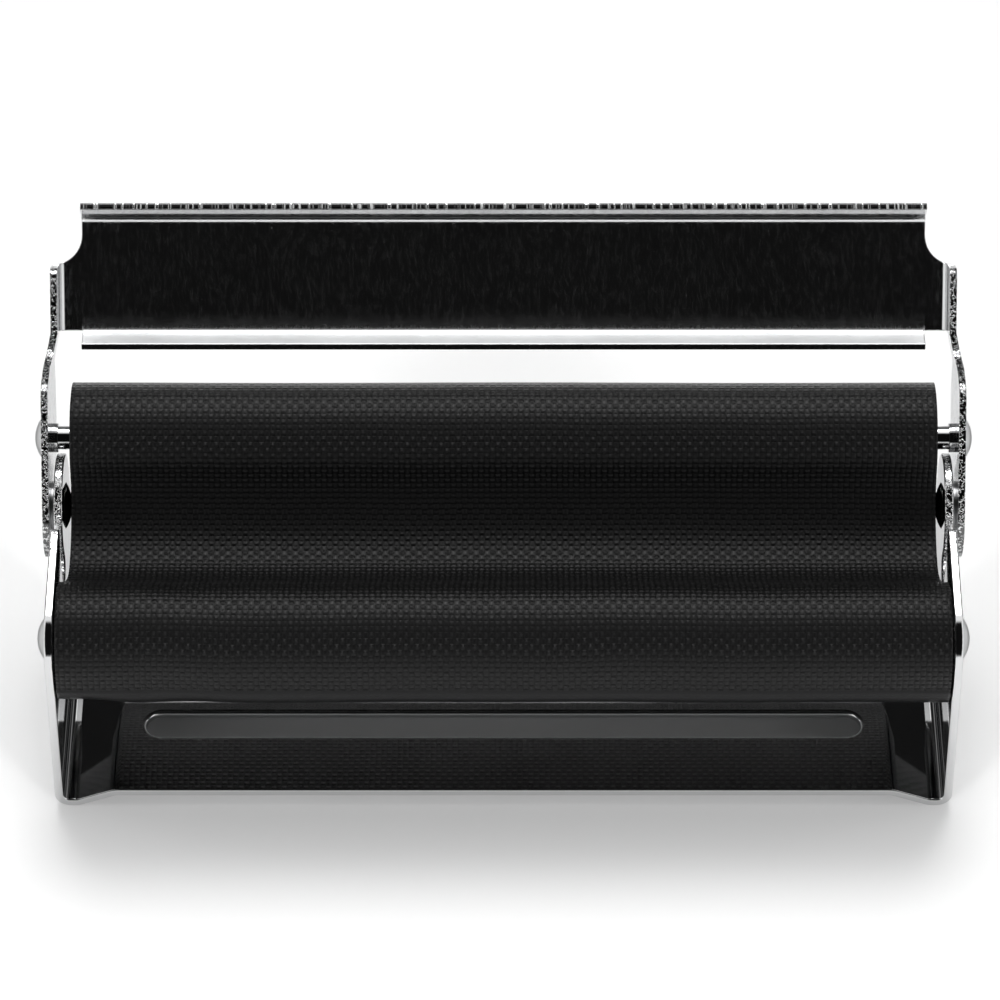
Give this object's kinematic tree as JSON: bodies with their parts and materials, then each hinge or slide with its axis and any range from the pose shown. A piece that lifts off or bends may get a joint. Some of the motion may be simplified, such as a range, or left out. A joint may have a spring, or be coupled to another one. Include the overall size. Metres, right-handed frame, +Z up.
{
  "type": "cigarette rolling machine",
  "caption": "Hand rolling machine for short papers: bent chromed sheet frame, hinged lever, roller pair and a looped woven apron.",
  "frame": {"origin": "centre of the outline seen from above, on the plane that the two feet stand on", "axes": "+X along the rollers, +Y from the front roller towards the lever's open side, +Z up"},
  "size_m": [0.0806, 0.0381, 0.0368],
  "materials": {
    "frame_chrome": "polished nickel-chrome plate on pressed steel sheet",
    "lever_chrome": "nickel-chrome plate over finely brushed steel sheet",
    "rivet_chrome": "polished plated rivet steel",
    "washer_steel": "plated, slightly dull",
    "roller_steel": "drawn tube, dull",
    "bush_plastic": "moulded, matt black",
    "apron_cloth": "black plain-weave cloth with a thin coating, low sheen"
  },
  "bodies": {
    "frame": {"base_frame": "frame_chrome", "front_roller_pin_left": "rivet_chrome", "front_roller_pin_right": "rivet_chrome", "pivot_rivet_left": "rivet_chrome", "pivot_rivet_right": "rivet_chrome", "pivot_washer_left": "washer_steel", "pivot_washer_right": "washer_steel", "apron": "apron_cloth"},
    "lever": {"swing_lever": "lever_chrome", "rear_roller_pin_left": "rivet_chrome", "rear_roller_pin_right": "rivet_chrome"},
    "front_roller": {"front_roller_tube": "roller_steel", "front_roller_bush_left": "bush_plastic", "front_roller_bush_right": "bush_plastic"},
    "rear_roller": {"rear_roller_tube": "roller_steel", "rear_roller_bush_left": "bush_plastic", "rear_roller_bush_right": "bush_plastic"}
  },
  "joints": [
    {"name": "lever_swing", "type": "hinge", "parent": "frame", "child": "lever", "pos_m": [0, 0.00085, 0.0171], "axis": [1, 0, 0], "range_deg": [-40, 115], "deforming": ["apron"]},
    {"name": "front_roller_spin", "type": "hinge", "parent": "frame", "child": "front_roller", "pos_m": [0, -0.01455, 0.0164], "axis": [1, 0, 0], "continuous": true},
    {"name": "rear_roller_spin", "type": "hinge", "parent": "lever", "child": "rear_roller", "pos_m": [0, 0.00423, 0.02193], "axis": [1, 0, 0], "continuous": true}
  ],
  "couplings": [
    {"joint": "rear_roller_spin", "follows": "front_roller_spin", "ratio": 1}
  ]
}
